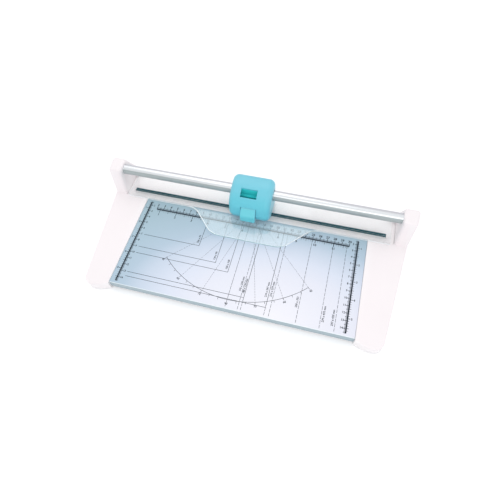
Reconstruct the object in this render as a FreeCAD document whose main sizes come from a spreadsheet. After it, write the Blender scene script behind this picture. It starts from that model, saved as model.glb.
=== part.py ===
import FreeCAD, Part
import math
import os
import Sketcher

# Desk paper trimmer: a clear guard over a printed steel bed, two side casings with towers,
# a round rail between the towers and a sliding head with a rotary blade.
# X runs along the rail, Y to the rear, Z up. The origin is on the desk, under the middle.
# Millimetres. Heights that start with "over the bed" are measured from the bed's top face.
sizes = {
    "bed_width": 322.0,
    "bed_height": 14.5,
    "bed_setback": 8.0,
    "bed_sheet": 1.0,
    "bed_lip": 12.0,
    "bed_bend": 1.2,
    "deck_split": 9.5,
    "front_reach": 158.0,
    "rear_reach": 44.0,
    "corner_step": 22.3,
    "straight_from": 18.0,
    "front_bow": 5.2,
    "bow_run": 15.8,
    "casing_wall": 2.2,
    "casing_lift": 1.0,
    "rim_over_bed": 1.5,
    "corner_round": 11.0,
    "rear_round": 9.0,
    "bow_round": 25.0,
    "flank_round": 80.0,
    "rim_round": 1.0,
    "tower_offset": 35.0,
    "tower_width": 20.5,
    "tower_over_bed": 44.0,
    "tower_front": 2.0,
    "tower_rear": 21.0,
    "tower_round": 4.0,
    "cover_recess": 1.6,
    "cover_sheet": 2.0,
    "seam": 0.3,
    "fit_gap": 0.05,
    "foot_radius": 7.0,
    "deck_sheet": 3.2,
    "beam_wall": 2.0,
    "beam_end": 14.0,
    "mat_width": 6.0,
    "mat_sheet": 1.5,
    "mat_sink": 0.5,
    "mat_overlap": 0.5,
    "rail_radius": 7.0,
    "rail_bore": 5.0,
    "rail_over_bed": 34.5,
    "rail_behind": 11.0,
    "rail_seat": 12.0,
    "key_width": 3.0,
    "key_depth": 1.2,
    "plug_length": 14.0,
    "guard_over_bed": 3.0,
    "guard_sheet": 2.5,
    "guard_gap": 5.0,
    "guard_front": 12.5,
    "guard_rear": 25.0,
    "tab_front": 50.5,
    "tab_half": 50.5,
    "tab_root_half": 86.0,
    "tab_round": 27.0,
    "slot_end": 7.5,
    "slot_width": 5.0,
    "slit_width": 1.6,
    "pivot_behind": 29.0,
    "pivot_over_bed": 5.7,
    "pivot_radius": 1.5,
    "knuckle_radius": 3.0,
    "knuckle_width": 7.0,
    "head_at": -3.5,
    "head_width": 58.0,
    "head_front": 20.5,
    "head_rear": 27.0,
    "head_lift": 10.5,
    "head_height": 53.5,
    "head_wall": 2.0,
    "head_round": 8.0,
    "window_width": 22.5,
    "window_front": 9.0,
    "window_rear": 2.0,
    "window_shift": 2.0,
    "bush_wall": 1.2,
    "bush_length": 9.5,
    "cheek_gap": 31.0,
    "carriage_width": 50.0,
    "blade_radius": 14.0,
    "blade_sheet": 0.4,
    "blade_travel": 6.3,
    "blade_clear": 0.3,
    "hub_radius": 6.5,
    "hub_core": 4.0,
    "axle_radius": 2.0,
    "tab_width": 20.8,
    "lever_front": 26.5,
    "lever_foot": 13.5,
    "lever_top": 33.5,
    "spring_radius": 1.4,
    "spring_wire": 0.4,
    "spring_turns": 9,
    "screw_radius": 1.5,
    "screw_head": 2.8,
    "screw_head_height": 1.5,
}

doc = FreeCAD.newDocument("PaperTrimmer")
sheet = doc.addObject("Spreadsheet::Sheet", "Sizes")
for row, (alias, value) in enumerate(sizes.items(), start=1):
    sheet.set(f"A{row}", alias)
    sheet.set(f"B{row}", str(value))
    sheet.setAlias(f"B{row}", alias)
doc.recompute()

vector = FreeCAD.Vector


class Length:
    """A length that carries its value and the sheet formula that gives it."""

    def __init__(self, value, text):
        self.value = float(value)
        self.text = text

    def __add__(self, other):
        other = as_length(other)
        return Length(self.value + other.value, f"({self.text} + {other.text})")

    def __sub__(self, other):
        other = as_length(other)
        return Length(self.value - other.value, f"({self.text} - {other.text})")

    def __mul__(self, other):
        other = as_length(other)
        return Length(self.value * other.value, f"({self.text} * {other.text})")

    def __truediv__(self, other):
        other = as_length(other)
        return Length(self.value / other.value, f"({self.text} / {other.text})")

    def __radd__(self, other):
        return as_length(other) + self

    def __rsub__(self, other):
        return as_length(other) - self

    def __rmul__(self, other):
        return as_length(other) * self

    def __neg__(self):
        return Length(-self.value, f"(0 - {self.text})")

    def __float__(self):
        return self.value


def as_length(value):
    if isinstance(value, Length):
        return value
    return Length(value, f"({float(value)!r})")


class Sizes:
    """The sheet's cells as lengths, read by name."""

    def __getattr__(self, alias):
        return Length(sheet.get(alias), f"Sizes.{alias}")


s = Sizes()


def bind(thing, path, length):
    thing.setExpression(path, as_length(length).text)


def ordered(side, low, high):
    """The interval from low to high on the right side, or its mirror on the left."""
    if side > 0:
        return (low, high)
    return (-high, -low)


def around(centre, half):
    return (centre - half, centre + half)


def box(name, x, y, z):
    """A block between a low and a high value on each axis."""
    thing = doc.addObject("Part::Box", name)
    for prop, axis, (low, high) in (("Length", "x", x), ("Width", "y", y), ("Height", "z", z)):
        bind(thing, prop, as_length(high) - low)
        bind(thing, f"Placement.Base.{axis}", low)
    return thing


turn_to = {
    "x": FreeCAD.Rotation(vector(0, 1, 0), 90),
    "y": FreeCAD.Rotation(vector(1, 0, 0), -90),
    "z": FreeCAD.Rotation(),
}


def rod(name, axis, radius, span, across):
    """A cylinder along an axis, over a span, at two places across it in X, Y, Z order."""
    thing = doc.addObject("Part::Cylinder", name)
    thing.Placement = FreeCAD.Placement(vector(0, 0, 0), turn_to[axis])
    bind(thing, "Radius", radius)
    bind(thing, "Height", as_length(span[1]) - span[0])
    places = dict(zip([letter for letter in "xyz" if letter != axis], across))
    places[axis] = span[0]
    for letter, place in places.items():
        bind(thing, f"Placement.Base.{letter}", place)
    return thing


def fuse(name, things):
    joined = doc.addObject("Part::MultiFuse", name)
    joined.Shapes = things
    return joined


def cut(name, base, tools):
    """The base less all the tools."""
    result = doc.addObject("Part::Cut", name)
    result.Base = base
    result.Tool = tools[0] if len(tools) == 1 else fuse(name + "_tools", tools)
    return result


def common(name, thing, room):
    """What of a thing lies inside a room."""
    result = doc.addObject("Part::Common", name)
    result.Base = thing
    result.Tool = room
    return result


def group(name, things):
    """Like pieces kept as separate solids in one node."""
    gathered = doc.addObject("Part::Compound", name)
    gathered.Links = things
    return gathered


def outline(body, name, plane, points, offset=0):
    """A closed sketch of straight runs, with each corner tied to the sheet."""
    sketch = body.newObject("Sketcher::SketchObject", name)
    support = [item for item in body.Origin.OriginFeatures if item.Role == plane][0]
    sketch.AttachmentSupport = [(support, "")]
    sketch.MapMode = "FlatFace"
    bind(sketch, "AttachmentOffset.Base.z", offset)
    points = [(as_length(a), as_length(b)) for a, b in points]
    count = len(points)
    corners = [vector(a.value, b.value, 0) for a, b in points]
    runs = [Part.LineSegment(corners[i], corners[(i + 1) % count]) for i in range(count)]
    sketch.addGeometry(runs, False)
    rules = [Sketcher.Constraint("Coincident", i, 2, (i + 1) % count, 1) for i in range(count)]
    for i, (a, b) in enumerate(points):
        rules.append(Sketcher.Constraint("DistanceX", -1, 1, i, 1, a.value))
        rules.append(Sketcher.Constraint("DistanceY", -1, 1, i, 1, b.value))
    sketch.addConstraint(rules)
    for i, (a, b) in enumerate(points):
        sketch.setExpression(f"Constraints[{count + 2 * i}]", a.text)
        sketch.setExpression(f"Constraints[{count + 2 * i + 1}]", b.text)
    return sketch


def pad(body, name, sketch, length):
    feature = body.newObject("PartDesign::Pad", name)
    feature.Profile = sketch
    bind(feature, "Length", length)
    sketch.Visibility = False
    doc.recompute()
    return feature


def pocket(body, name, sketch):
    """A cut right through the body, both ways from the sketch; it has to take something away."""
    before = body.Shape.Volume
    feature = body.newObject("PartDesign::Pocket", name)
    feature.Profile = sketch
    feature.Type = 1
    feature.Midplane = True
    doc.recompute()
    if body.Shape.Volume > before - 1:
        raise RuntimeError(f"{name} cuts nothing")
    return feature


def fillet(body, name, wanted, radius):
    """Rounds the body's edges for which wanted(edge) is true."""
    doc.recompute()
    base = body.Tip
    edges = [f"Edge{i}" for i, edge in enumerate(base.Shape.Edges, start=1) if wanted(edge)]
    if not edges:
        raise RuntimeError(f"{name} finds no edge")
    feature = body.newObject("PartDesign::Fillet", name)
    feature.Base = (base, edges)
    bind(feature, "Radius", radius)
    doc.recompute()
    return feature


def is_near(value, target, slack=0.01):
    return abs(value - float(target)) < slack


def ends(edge):
    return [vertex.Point for vertex in edge.Vertexes]


# Places that many pieces share
bed_top = s.bed_height
cut_y = (s.front_reach - s.rear_reach) / 2
rim_top = bed_top + s.rim_over_bed
tower_top = bed_top + s.tower_over_bed
bed_half = s.bed_width / 2
tower_inner = bed_half + s.tower_offset
outer = tower_inner + s.tower_width
rail_y = cut_y + s.rail_behind
rail_z = bed_top + s.rail_over_bed
rail_half = tower_inner + s.rail_seat
cover_low = s.casing_lift + s.cover_recess
cover_top = cover_low + s.cover_sheet
split_y = cut_y - s.deck_split
front_y = cut_y - s.front_reach
rear_y = cut_y + s.rear_reach
bed_front_y = front_y + s.bed_setback
deck_low = bed_top - s.deck_sheet
beam_half = tower_inner - s.seam
beam_core = beam_half - s.beam_end
guard_low = bed_top + s.guard_over_bed
guard_top = guard_low + s.guard_sheet
guard_half = tower_inner - s.guard_gap
slot_half = guard_half - s.slot_end
pivot_y = cut_y + s.pivot_behind
pivot_z = bed_top + s.pivot_over_bed
head_low = bed_top + s.head_lift
head_top = bed_top + s.head_height
blade_low = bed_top - s.mat_sink + s.blade_clear + s.blade_travel
blade_z = blade_low + s.blade_radius
nodes = []


def keep(node, thing):
    """Names a finished piece, which is written to a file of that name."""
    thing.Label = node
    nodes.append(thing)
    return thing


def casing_plan(side, inset):
    """The side casing's outline seen from above, drawn in by inset."""
    inner = bed_half + s.seam
    corner = outer - s.corner_step
    points = [
        (inner + inset, front_y + s.front_bow + inset),
        (inner + s.bow_run, front_y + inset),
        (corner - inset, front_y + inset),
        (outer - inset, cut_y + s.straight_from),
        (outer - inset, rear_y - inset),
        (tower_inner + inset, rear_y - inset),
        (tower_inner + inset, split_y - inset),
        (inner + inset, split_y - inset),
    ]
    return [(side * x, y) for x, y in points]


def casing_form(name, side, inset, low):
    """The casing with its tower as a full block; drawn in by the wall it is the hollow."""
    body = doc.addObject("PartDesign::Body", name)
    plan = outline(body, name + "_plan", "XY_Plane", casing_plan(side, inset), low)
    pad(body, name + "_block", plan, tower_top + 10 - low)
    over = tower_top + 20
    rim = rim_top - inset
    top = tower_top - inset
    above = [
        (front_y - 5, rim),
        (split_y + inset, rim),
        (cut_y - s.tower_front + inset, top),
        (cut_y + s.tower_rear - inset / 2, top),
        (rear_y - inset, rim),
        (rear_y + 5, rim),
        (rear_y + 5, over),
        (front_y - 5, over),
    ]
    side_cut = outline(body, name + "_above", "YZ_Plane", above)
    pocket(body, name + "_slopes", side_cut)
    round_corners(body, side, inset)
    return body


def round_corners(body, side, inset):
    """Rounds the upright corners of a piece drawn on the casing's plan."""
    plan = casing_plan(side, inset)
    rounds = ((1, s.bow_round), (2, s.corner_round), (3, s.flank_round), (4, s.rear_round))
    for number, radius in rounds:
        x, y = plan[number]

        def at_corner(edge):
            points = ends(edge)
            in_place = all(is_near(p.x, x) and is_near(p.y, y) for p in points)
            return len(points) == 2 and in_place and abs(points[0].z - points[1].z) > 1

        fillet(body, f"{body.Name}_corner_{number}", at_corner, radius - inset)


def round_casing(body):
    """The edges of the casing's tower and its rim."""

    def on_tower(edge):
        return edge.BoundBox.ZMax > float(tower_top) - 0.5

    fillet(body, body.Name + "_tower_round", on_tower, s.tower_round)

    def on_rim(edge):
        flat = edge.BoundBox.ZMax - edge.BoundBox.ZMin < 0.01
        inner_step = is_near(edge.BoundBox.YMin, split_y, 0.5) or edge.BoundBox.YMin > float(split_y)
        return flat and is_near(edge.BoundBox.ZMax, rim_top) and not inner_step

    fillet(body, body.Name + "_rim_round", on_rim, s.rim_round)


# Screw places in each casing, from the bed's edge or the outer wall and from the cut line
cover_screw_places = [
    (bed_half + 9, front_y + 14, rim_top - 1),
    (bed_half + 9, split_y - 10.5, rim_top - 1),
    (outer - 10, split_y - 4.5, rim_top - 1),
    (outer - 9, rear_y - 10, rim_top + 12),
]
foot_places = [(bed_half + 20, front_y + 20), (outer - 11, cut_y + 16)]
bed_screw_places = [split_y - 22.5, (split_y + bed_front_y) / 2, bed_front_y + 22]
beam_screw_places = [cut_y + 10, rear_y - 11]
pilot = s.screw_radius - 0.3


def casing(side, word):
    """One side casing: a shell with the tower, its bosses and its screw holes."""
    name = word + "_casing"
    form = casing_form(name + "_form", side, as_length(0), s.casing_lift)
    round_casing(form)
    hollow = casing_form(name + "_hollow", side, s.casing_wall, s.casing_lift - 1)
    shell = cut(name + "_shell", form, [hollow])
    extras = []
    for i, (x, y, boss_top) in enumerate(cover_screw_places):
        extras.append(rod(f"{name}_boss_{i}", "z", 3.2, (cover_top, boss_top), (side * x, y)))
    socket = ordered(side, tower_inner + 0.5, rail_half + 3)
    extras.append(rod(name + "_socket", "x", s.rail_radius + 2, socket, (rail_y, rail_z)))
    pin_boss = ordered(side, tower_inner + 0.5, tower_inner + 5)
    extras.append(rod(name + "_pin_boss", "x", 3, pin_boss, (pivot_y, pivot_z)))
    shelf_x = ordered(side, tower_inner - 9, tower_inner + 1)
    extras.append(box(name + "_shelf", shelf_x, (cut_y + 3, rear_y - 4), (deck_low - 7, deck_low - 3)))
    whole = fuse(name + "_whole", [shell] + extras)
    holes = []
    for i, (x, y, _) in enumerate(cover_screw_places):
        holes.append(rod(f"{name}_pilot_{i}", "z", pilot, (cover_top - 1, rim_top - 3), (side * x, y)))
    bore = ordered(side, tower_inner - 1, rail_half)
    holes.append(rod(name + "_rail_bore", "x", s.rail_radius + s.fit_gap, bore, (rail_y, rail_z)))
    tail = ordered(side, rail_half - 1, rail_half + 4)
    holes.append(rod(name + "_tail_hole", "x", 2.1, tail, (rail_y, rail_z)))
    access = ordered(side, rail_half + 3, outer + 1)
    holes.append(rod(name + "_access", "x", 5, access, (rail_y, rail_z)))
    pin_hole = ordered(side, tower_inner - 1, tower_inner + 4)
    holes.append(rod(name + "_pin_hole", "x", s.pivot_radius, pin_hole, (pivot_y, pivot_z)))
    for i, y in enumerate(bed_screw_places):
        through = ordered(side, bed_half - 1, bed_half + s.casing_wall + 2)
        hole_z = bed_top - 6.5
        holes.append(rod(f"{name}_bed_hole_{i}", "x", s.screw_radius + 0.1, through, (y, hole_z)))
    for i, y in enumerate(beam_screw_places):
        span = (deck_low - 8, deck_low - 2)
        place = (side * (tower_inner - 5), y)
        holes.append(rod(f"{name}_beam_hole_{i}", "z", s.screw_radius + 0.1, span, place))
    return keep(f"{word}_side_casing", cut(name, whole, holes))


def bottom_cover(side, word):
    """The plate that closes a casing from below."""
    name = word + "_cover"
    body = doc.addObject("PartDesign::Body", name + "_plate")
    plan = outline(body, name + "_plan", "XY_Plane", casing_plan(side, s.casing_wall + s.seam), cover_low)
    pad(body, name + "_sheet", plan, s.cover_sheet)
    round_corners(body, side, s.casing_wall + s.seam)
    holes = []
    for i, (x, y, _) in enumerate(cover_screw_places):
        span = (cover_low - 1, cover_top + 1)
        holes.append(rod(f"{name}_hole_{i}", "z", s.screw_radius + 0.1, span, (side * x, y)))
    return keep(f"{word}_bottom_cover", cut(name, body, holes))


def screw(name, axis, sign, seat, across, length, radius=None, head=None):
    """A pan-head screw: its head sits at seat and its shank runs from there along sign."""
    radius = radius or s.screw_radius - 0.3
    head = head or s.screw_head
    height = s.screw_head_height
    shank = (seat, seat + length) if sign > 0 else (seat - length, seat)
    cap = (seat - height, seat) if sign > 0 else (seat, seat + height)
    body = fuse(name + "_blank", [
        rod(name + "_shank", axis, radius, shank, across),
        rod(name + "_head", axis, head, cap, across),
    ])
    letters = [letter for letter in "xyz" if letter != axis]
    face = (seat - height - 1, seat - height / 2) if sign > 0 else (seat + height / 2, seat + height + 1)
    slots = []
    for wide, thin in ((0, 1), (1, 0)):
        spans = {axis: face}
        spans[letters[wide]] = around(across[wide], head * 0.55)
        spans[letters[thin]] = around(across[thin], head * 0.12)
        slots.append(box(f"{name}_recess_{wide}", spans["x"], spans["y"], spans["z"]))
    return cut(name, body, slots)


def base_fasteners():
    covers, bed, beam, rail_ends, caps, pins, feet = [], [], [], [], [], [], []
    for side, word in ((-1, "left"), (1, "right")):
        for i, (x, y, _) in enumerate(cover_screw_places):
            place = (side * x, y)
            covers.append(screw(f"{word}_cover_screw_{i}", "z", 1, cover_low, place, rim_top - 4 - cover_low))
        for i, y in enumerate(bed_screw_places):
            seat = side * (bed_half + s.seam + s.casing_wall)
            bed.append(screw(f"{word}_bed_screw_{i}", "x", -side, seat, (y, bed_top - 6.5), 6))
        for i, y in enumerate(beam_screw_places):
            seat = deck_low - 7
            beam.append(screw(f"{word}_beam_screw_{i}", "z", 1, seat, (side * (tower_inner - 5), y), 8.5))
        seat = side * (rail_half + 3)
        tail = (rail_y, rail_z)
        rail_ends.append(screw(f"{word}_rail_screw", "x", -side, seat, tail, 14, s.screw_radius + 0.4, 3.6))
        cap_span = ordered(side, outer - 3.6, outer - 0.6)
        caps.append(rod(f"{word}_cap", "x", 5 - s.fit_gap, cap_span, (rail_y, rail_z)))
        pin_span = ordered(side, guard_half - s.knuckle_width - 1, tower_inner + 4)
        pins.append(rod(f"{word}_pin", "x", s.pivot_radius, pin_span, (pivot_y, pivot_z)))
        for i, (x, y) in enumerate(foot_places):
            feet.append(rod(f"{word}_foot_{i}", "z", s.foot_radius, (0, cover_low), (side * x, y)))
        beam_foot = (side * beam_core * 0.55, rear_y - 12)
        feet.append(rod(f"{word}_beam_foot", "z", s.foot_radius, (0, cover_low), beam_foot))
    keep("cover_screws", group("cover_screw_group", covers))
    keep("bed_screws", group("bed_screw_group", bed))
    keep("beam_screws", group("beam_screw_group", beam))
    keep("rail_end_screws", group("rail_screw_group", rail_ends))
    keep("screw_hole_caps", group("cap_group", caps))
    keep("guard_pivot_pins", group("pin_group", pins))
    keep("rubber_feet", group("foot_group", feet))


def bed():
    """The printed steel bed: a pan with a lip all round, open below."""
    body = doc.addObject("PartDesign::Body", "bed_pan")
    low = bed_top - s.bed_lip
    rear = split_y

    def ring(inset):
        return [
            (-bed_half + inset, bed_front_y + inset),
            (bed_half - inset, bed_front_y + inset),
            (bed_half - inset, rear - inset),
            (-bed_half + inset, rear - inset),
        ]

    plan = outline(body, "bed_plan", "XY_Plane", ring(0), low)
    pad(body, "bed_block", plan, s.bed_lip)

    def front_edge(edge):
        room = edge.BoundBox
        return is_near(room.ZMin, bed_top) and is_near(room.YMax, bed_front_y)

    fillet(body, "bed_front_bend", front_edge, s.bed_bend)
    hollow = outline(body, "bed_hollow_plan", "XY_Plane", ring(s.bed_sheet), low)
    feature = body.newObject("PartDesign::Pocket", "bed_hollow")
    feature.Profile = hollow
    feature.Reversed = True
    bind(feature, "Length", s.bed_lip - s.bed_sheet)
    doc.recompute()
    holes = []
    for side in (-1, 1):
        for i, y in enumerate(bed_screw_places):
            span = ordered(side, bed_half - 3, bed_half + 2)
            holes.append(rod(f"bed_hole_{side + 1}_{i}", "x", s.screw_radius - 0.3, span, (y, bed_top - 6.5)))
    keep("bed_plate", cut("bed", body, holes))
    channels = []
    bed_run = split_y - bed_front_y
    for i, y in enumerate((bed_front_y + bed_run / 3, bed_front_y + bed_run * 2 / 3)):
        half = bed_half - s.bed_sheet - 3.5
        top = bed_top - s.bed_sheet
        solid = box(f"channel_solid_{i}", (-half, half), around(y, 10), (top - 8, top))
        inside = box(f"channel_inside_{i}", (-half - 1, half + 1), around(y, 9), (top - 9, top - 1))
        channels.append(cut(f"channel_{i}", solid, [inside]))
    keep("bed_stiffeners", group("channel_group", channels))


def beam():
    """The white beam behind the bed: its deck, its channel for the mat, its ribs and bosses."""
    front = split_y + s.seam
    wall = s.beam_wall
    block = box("beam_block", (-beam_half, beam_half), (front, rear_y), (s.casing_lift, bed_top))
    rib_step = beam_core / 4
    rib_places = [rib_step * count for count in (-3, -2, -1, 0, 1, 2, 3)]
    cover_screw_xs = [beam_core * 0.41, beam_core - 17]
    cover_screws = [(side * x, cut_y + 17) for x in cover_screw_xs for side in (-1, 1)]
    inside_y = (front + wall, rear_y - wall)
    away = [box("beam_hollow", (wall - beam_core, beam_core - wall), inside_y, (0, deck_low))]
    for side in (-1, 1):
        notch_x = ordered(side, beam_core, beam_half + 1)
        away.append(box(f"beam_notch_{side + 1}", notch_x, inside_y, (0, deck_low)))
    shell = cut("beam_shell", block, away)
    extras = []
    for i, x in enumerate(rib_places):
        extras.append(box(f"beam_rib_{i}", around(x, 1), inside_y, (cover_top, deck_low + 1)))
    for i, place in enumerate(cover_screws):
        extras.append(rod(f"beam_boss_{i}", "z", 3.2, (cover_top, deck_low + 1), place))
    for side in (-1, 1):
        for i, y in enumerate(beam_screw_places):
            place = (side * (tower_inner - 5), y)
            extras.append(rod(f"beam_end_boss_{side + 1}_{i}", "z", 3.5, (deck_low - 3, deck_low + 1), place))
    whole = fuse("beam_whole", [shell] + extras)
    mat_half = slot_half + s.mat_overlap
    channel_low = bed_top - s.mat_sink - s.mat_sheet
    holes = [box("mat_channel", around(as_length(0), mat_half + 0.2), around(cut_y, s.mat_width / 2 + 0.1),
                 (channel_low, bed_top + 1))]
    for i, place in enumerate(cover_screws):
        holes.append(rod(f"beam_pilot_{i}", "z", pilot, (cover_top - 1, deck_low), place))
    for side in (-1, 1):
        for i, y in enumerate(beam_screw_places):
            place = (side * (tower_inner - 5), y)
            holes.append(rod(f"beam_end_pilot_{side + 1}_{i}", "z", pilot, (deck_low - 4, deck_low + 2), place))
    keep("rear_beam", cut("beam", whole, holes))
    keep("cutting_mat", box("mat", around(as_length(0), mat_half), around(cut_y, s.mat_width / 2),
                            (channel_low, bed_top - s.mat_sink)))
    cover_half = beam_core - wall - s.seam
    plate = box("beam_plate", (-cover_half, cover_half), (inside_y[0] + s.seam, inside_y[1] - s.seam),
                (cover_low, cover_top))
    plate_holes = [
        rod(f"beam_plate_hole_{i}", "z", s.screw_radius + 0.1, (cover_low - 1, cover_top + 1), place)
        for i, place in enumerate(cover_screws)
    ]
    keep("beam_bottom_cover", cut("beam_cover", plate, plate_holes))
    keep("beam_cover_screws", group("beam_cover_screw_group", [
        screw(f"beam_cover_screw_{i}", "z", 1, cover_low, place, deck_low - 1 - cover_low)
        for i, place in enumerate(cover_screws)
    ]))


def rail():
    """The rail: a tube with a key groove along its underside, and a plug in each end."""
    at_rail = (rail_y, rail_z)
    tube = rod("rail_tube", "x", s.rail_radius, (-rail_half, rail_half), at_rail)
    bore = rod("rail_tube_bore", "x", s.rail_bore, (-rail_half - 1, rail_half + 1), at_rail)
    groove_z = (rail_z - s.rail_radius - 1, rail_z - s.rail_radius + s.key_depth)
    groove_x = (-tower_inner + 1, tower_inner - 1)
    groove = box("rail_groove", groove_x, around(rail_y, s.key_width / 2), groove_z)
    keep("rail", cut("rail_cut", tube, [bore, groove]))
    plugs = []
    for side, word in ((-1, "left"), (1, "right")):
        span = ordered(side, rail_half - s.plug_length, rail_half)
        plug = rod(f"{word}_plug", "x", s.rail_bore - s.fit_gap, span, at_rail)
        thread = rod(f"{word}_plug_thread", "x", s.screw_radius + 0.45, ordered(side, rail_half - 20, rail_half + 1),
                     at_rail)
        plugs.append(cut(f"{word}_plug_cut", plug, [thread]))
    keep("rail_end_plugs", group("plug_group", plugs))


def guard():
    """The clear guard with its hand tab, its slot and its two hinge knuckles."""
    half = guard_half
    front = cut_y - s.guard_front
    tip = cut_y - s.tab_front
    rear = cut_y + s.guard_rear
    body = doc.addObject("PartDesign::Body", "guard_sheet_body")
    points = [
        (-half, front), (-s.tab_root_half, front), (-s.tab_half, tip), (s.tab_half, tip),
        (s.tab_root_half, front), (half, front), (half - 2.5, rear), (-half + 2.5, rear),
    ]
    plan = outline(body, "guard_plan", "XY_Plane", points, guard_low)
    pad(body, "guard_block", plan, s.guard_sheet)

    def curve_corner(edge):
        room = edge.BoundBox
        upright = room.ZLength > float(s.guard_sheet) - 0.01
        return upright and any(
            is_near(abs(room.XMin), x, 0.1) and is_near(room.YMin, y, 0.1)
            for x, y in ((s.tab_half, tip), (s.tab_root_half, front))
        )

    fillet(body, "guard_curves", curve_corner, s.tab_round)

    def upright_end(edge):
        room = edge.BoundBox
        return room.ZLength > float(s.guard_sheet) - 0.01 and abs(room.XMin) > float(half) - 4

    fillet(body, "guard_corners", upright_end, 2)
    knuckles = []
    bores = [box("guard_slot", around(as_length(0), slot_half), around(cut_y, s.slot_width / 2),
                 (guard_low - 1, guard_top + 1))]
    for side, word in ((-1, "left"), (1, "right")):
        span = ordered(side, half - 2.5 - s.knuckle_width, half - 2.5)
        knuckles.append(rod(f"{word}_knuckle", "x", s.knuckle_radius, span, (pivot_y, pivot_z)))
        knuckles.append(box(f"{word}_arm", span, (rear - 1, pivot_y), (guard_low, guard_top)))
        heel_z = (bed_top + s.seam, pivot_z)
        knuckles.append(box(f"{word}_heel", span, (pivot_y + 0.8, pivot_y + s.knuckle_radius), heel_z))
        hole = ordered(side, half - 12, half)
        bores.append(rod(f"{word}_knuckle_bore", "x", s.pivot_radius + s.fit_gap, hole, (pivot_y, pivot_z)))
    whole = fuse("guard_whole", [body] + knuckles)
    keep("clear_guard", cut("guard", whole, bores))
    strips = []
    for side in (-1, 1):
        span = ordered(side, s.slit_width / 2, s.slot_width / 2)
        strips.append(box(f"strip_{side + 1}", around(as_length(0), slot_half),
                          (cut_y + span[0], cut_y + span[1]), (guard_low + 0.4, guard_top)))
    keep("blade_guide_strips", group("strip_group", strips))


def helix(name, radius, wire, low, high, turns, place, axis="z"):
    """A coil spring: one wire swept along a helix between two heights."""
    pitch = (high - low) / turns
    path = Part.makeHelix(pitch, high - low, radius)
    start = path.Edges[0].valueAt(path.Edges[0].FirstParameter)
    tangent = path.Edges[0].tangentAt(path.Edges[0].FirstParameter)
    ring = Part.Wire([Part.makeCircle(wire / 2, start, tangent)])
    coil = Part.Wire(path.Edges).makePipeShell([ring], True, True)
    thing = doc.addObject("Part::Feature", name)
    thing.Shape = coil
    lift = FreeCAD.Placement(vector(0, 0, low), FreeCAD.Rotation())
    thing.Placement = FreeCAD.Placement(vector(*place), turn_to[axis]).multiply(lift)
    print(name, "gap between turns", round(pitch - wire, 2))
    return thing


def guard_springs():
    """A torsion spring round each pivot pin, between the knuckle and the tower."""
    springs = []
    wire = 0.6
    for side, word in ((-1, "left"), (1, "right")):
        low = float(guard_half) - 2.5 + 0.6
        high = float(tower_inner) - 0.6
        span = (low, high) if side > 0 else (-high, -low)
        radius = float(s.pivot_radius) + 0.3 + wire / 2
        spring = helix(f"{word}_torsion", radius, wire, span[0], span[1], 5, (0, float(pivot_y), float(pivot_z)), "x")
        springs.append(spring)
    keep("guard_springs", group("torsion_group", springs))


def head_profile(inset, low):
    """The head seen from the side, drawn in by inset, with its foot tucked back."""
    front = cut_y - s.head_front
    rear = cut_y + s.head_rear
    knee = head_low + 8
    return [
        (front + inset + (knee - low) * 0.44, low),
        (front + inset, knee),
        (front + 3 + inset, head_top - 18 - inset / 2),
        (front + 12.5 + inset / 2, head_top - 7 - inset),
        (front + 29.5, head_top - inset),
        (rear - inset, head_top - inset),
        (rear - inset, low),
    ]


def head_form(name, inset, low):
    """The head as a full block, rounded along its top and round its flanks."""
    body = doc.addObject("PartDesign::Body", name)
    half = s.head_width / 2 - inset
    profile = outline(body, name + "_side", "YZ_Plane", head_profile(inset, low), -half)
    pad(body, name + "_block", profile, half * 2)
    points = head_profile(inset, low)

    def along_x(number):
        y, z = points[number]

        def wanted(edge):
            room = edge.BoundBox
            return room.XLength > float(half) and is_near(room.YMin, y) and is_near(room.ZMin, z)

        return wanted

    for number, radius in ((1, 14), (2, 22), (3, 22), (4, 30), (5, 9 - inset / 2)):
        fillet(body, f"{name}_crown_{number}", along_x(number), radius)

    def flank(edge):
        room = edge.BoundBox
        flat = room.XLength < 0.01 and is_near(abs(room.XMin), half)
        return flat and room.ZMax > float(low) + 1

    fillet(body, name + "_flanks", flank, s.head_round - inset)
    return body


lever_half = s.tab_width / 2
cheek_in = s.cheek_gap / 2
cheek_out = s.carriage_width / 2
room_inset = s.head_wall + s.seam
carriage_y = (cut_y - 14, cut_y + s.head_rear - room_inset)
carriage_low = head_low + s.head_wall + 0.2
guide_y = cut_y - 8
tongue_top = bed_top + 33.2
bush_radius = s.rail_radius + s.fit_gap + s.bush_wall
head_screw_places = [(-12, bed_top + 22), (12, bed_top + 22)]
cover_plate_places = [(side * 21, y) for side in (-1, 1) for y in (cut_y - 1, cut_y + 20)]


def head_shell():
    block = head_form("head_form", as_length(0), head_low)
    hollow = head_form("head_hollow", s.head_wall, head_low - 3)
    shell = cut("head_dome", block, [hollow])
    rear = cut_y + s.head_rear
    half = s.head_width / 2
    holes = [
        box("head_window", around(-s.window_shift, s.window_width / 2),
            (cut_y - s.window_front, cut_y + s.window_rear), (bed_top + 38, head_top + 5)),
        box("head_notch", around(as_length(0), lever_half + 0.45), (cut_y - s.head_front - 5, cut_y - 14.2),
            (head_low - 1, bed_top + s.lever_top + 0.5)),
        rod("head_rail_hole", "x", s.rail_radius + 1.2, (-half - 1, half + 1), (rail_y, rail_z)),
    ]
    for i, (x, z) in enumerate(head_screw_places):
        holes.append(rod(f"head_screw_hole_{i}", "y", s.screw_radius + 0.1, (rear - 4, rear + 1), (as_length(x), z)))
        holes.append(rod(f"head_screw_sink_{i}", "y", 3.1, (rear - 0.9, rear + 1), (as_length(x), z)))
    keep("head_shell", cut("head", shell, holes))


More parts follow.
